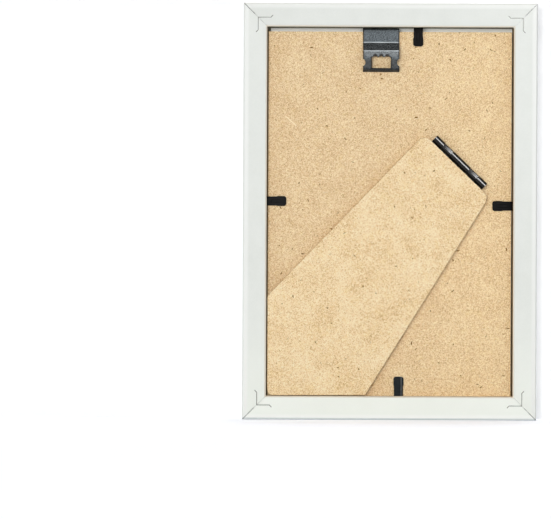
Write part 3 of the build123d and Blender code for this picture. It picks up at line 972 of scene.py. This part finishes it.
def stage_plane(name, corners, material):
    """A flat four-cornered piece of the stage."""
    mesh = bpy.data.meshes.new(name)
    mesh.from_pydata(corners, [], [range(4)])
    mesh.materials.append(material)
    plane = linked(name, mesh)
    return plane


def hide_from(thing, *rays):
    """Hides an object or a lamp from some kinds of rays."""
    for ray in rays:
        setattr(thing, f"visible_{ray}", False)


edge = STAGE_SIZE / 2
floor = stage_plane("floor", [(-edge, -edge, 0), (edge, -edge, 0), (edge, edge, 0), (-edge, edge, 0)],
                    stage_finish("floor_paper", FLOOR_COLOUR, FLOOR_LIFT, False))
sheet_y = cad_box[1].y + SHEET_GAP
sheet = stage_plane("white_sheet", [(-edge, sheet_y, 0), (edge, sheet_y, 0), (edge, sheet_y, edge),
                                    (-edge, sheet_y, edge)],
                    stage_finish("sheet_paper", SHEET_COLOUR, SHEET_LIFT, True))
hide_from(sheet, "diffuse", "glossy", "transmission", "shadow")
print("stage:", floor.name, sheet.name)

# %% [markdown]
# ## Light
# The photograph's light is large and soft and comes from the camera's side. A key from the left, a wide one
# from further left and a weak one from the right model the edges: the wide key softens the strut's shadow.
# The rails cast no shadow from the wide key and the right key, because the photograph shows no long shadow
# of theirs on the board. The overhead sun stands beyond the frame and lays the soft shadow on the floor, and
# a front fill lights the side that the photograph doesn't show. A strip lamp draws the bright line along the
# hinge barrel, and the world fills the shadows. On the back of the frame their sum is about 1, so that
# colours come out as they are written.

# %% World
FILL = 0.3
world = bpy.data.worlds.new("studio")
bpy.context.scene.world = world
world.use_nodes = True
brightness = seen_rays(Wire(world.node_tree)) * (1 - FILL) + FILL
feed(world.node_tree.nodes["Background"], {"Color": (1.0, 1.0, 1.0, 1.0), "Strength": brightness})
print("the world fills shadows with", FILL)

# %% Suns
# Strength, where it comes from, and how many degrees wide it is
SUNS = {
    "left_key": (1.0, (-0.2, -0.974, 0.11), 14),
    "wide_key": (0.45, (-0.5, -0.86, 0.1), 30),
    "right_key": (0.25, (0.26, -0.96, 0.1), 10),
    "overhead": (1.1, (0.0, 0.24, 0.97), 30),
    "front_fill": (1.6, (0.3, 0.95, 0.06), 40),
}


def sun(name, strength, comes_from, angle):
    """A wide sun that shines from a direction."""
    lamp = bpy.data.lights.new(name, "SUN")
    lamp.energy = strength
    lamp.angle = math.radians(angle)
    holder = linked(name, lamp)
    holder.rotation_euler = Vector(comes_from).to_track_quat("Z", "Y").to_euler()
    return holder


suns = {name: sun(name, *values) for name, values in SUNS.items()}
hide_from(suns["front_fill"], "glossy")
see_through = bpy.data.collections.new("cast_no_shadow")
for side in RAIL_PAINTED_TONES:
    see_through.objects.link(nodes[f"rail_{side}"])
for entry in see_through.collection_objects:
    entry.light_linking.link_state = "EXCLUDE"
for name in ("wide_key", "right_key"):
    suns[name].light_linking.blocker_collection = see_through
print("suns:", list(suns))

# %% Strip lamp for the hinge barrel
STRIP_FROM = Vector((0.37, -0.85, 0.38)).normalized()
STRIP_DISTANCE = 0.9
STRIP_SIZE = (0.34, 0.44)
STRIP_POWER = 20.0
lamp = bpy.data.lights.new("strip", "AREA")
lamp.shape = "RECTANGLE"
lamp.size, lamp.size_y = STRIP_SIZE
lamp.energy = STRIP_POWER
barrel = joints["strut_swing"]
strip_lamp = linked("strip", lamp)
strip_lamp.location = Vector(barrel["pos_m"]) + STRIP_FROM * STRIP_DISTANCE
aside = Vector(barrel["axis"])
aside = (aside - STRIP_FROM * STRIP_FROM.dot(aside)).normalized()
strip_lamp.rotation_euler = Matrix((aside, STRIP_FROM.cross(aside), STRIP_FROM)).transposed().to_euler()
hide_from(strip_lamp, "camera", "diffuse")
print("strip lamp:", STRIP_POWER, "W from", STRIP_DISTANCE, "m")

# %% [markdown]
# ## A black card
# Blued steel is half a mirror, so its look depends on what stands around it. In the photograph the
# hanger's step, which slopes towards the ceiling, is darker than its flat. A black card above gives the
# step something dark to mirror. Only glossy rays see the card, so it takes no light from the rest.

# %% Black card over the hanger
CARD_HEIGHT = 0.75
CARD_FROM, CARD_TO = -0.85, -0.12
CARD_HALF = 0.6
black_card = bpy.data.materials.new("black_card")
black_card.use_nodes = True
matte_black = {"Base Color": (0.01, 0.01, 0.01, 1.0), "Roughness": 0.9}
feed(black_card.node_tree.nodes["Principled BSDF"], matte_black)
corners = [(-CARD_HALF, CARD_FROM), (-CARD_HALF, CARD_TO), (CARD_HALF, CARD_TO), (CARD_HALF, CARD_FROM)]
card = stage_plane("black_card", [(x, y, CARD_HEIGHT) for x, y in corners], black_card)
hide_from(card, "camera", "diffuse", "transmission", "shadow")
print("card:", card.name, "at", CARD_HEIGHT, "m")

# %% [markdown]
# ## Camera
# The photograph looks straight at the back from far away: its top and bottom edges are equally long. The
# frame's middle sits right of and above the picture's middle, so the camera stands to its left and lower,
# with a long lens and a quarter of a degree of roll. No lens shift is needed.

# %% Camera
PHOTO_SIZE = (551, 519)
FRAME_MIDDLE_PX = (390.0, 211.6)
FRAME_WIDTH_PX = 294.2
CAMERA_DISTANCE = 1.5
CAMERA_ROLL = math.radians(0.25)

per_pixel = (cad_box[1].x - cad_box[0].x) / FRAME_WIDTH_PX
right = (FRAME_MIDDLE_PX[0] - PHOTO_SIZE[0] / 2) * per_pixel
up = (PHOTO_SIZE[1] / 2 - FRAME_MIDDLE_PX[1]) * per_pixel
cosine, sine = math.cos(CAMERA_ROLL), math.sin(CAMERA_ROLL)
lens = bpy.data.cameras.new("camera")
lens.sensor_width = 36.0
lens.lens = lens.sensor_width * CAMERA_DISTANCE / (PHOTO_SIZE[0] * per_pixel)
camera = linked("camera", lens)
middle = (cad_box[0] + cad_box[1]) / 2
camera.location = (
    middle.x - right * cosine + up * sine,
    cad_box[0].y - CAMERA_DISTANCE,
    middle.z - right * sine - up * cosine,
)
camera.rotation_euler = (math.pi / 2, -CAMERA_ROLL, 0.0)
bpy.context.scene.camera = camera
bpy.context.scene.view_settings.view_transform = "Standard"
print("lens", round(lens.lens, 1), "mm at", [round(c, 4) for c in camera.location])
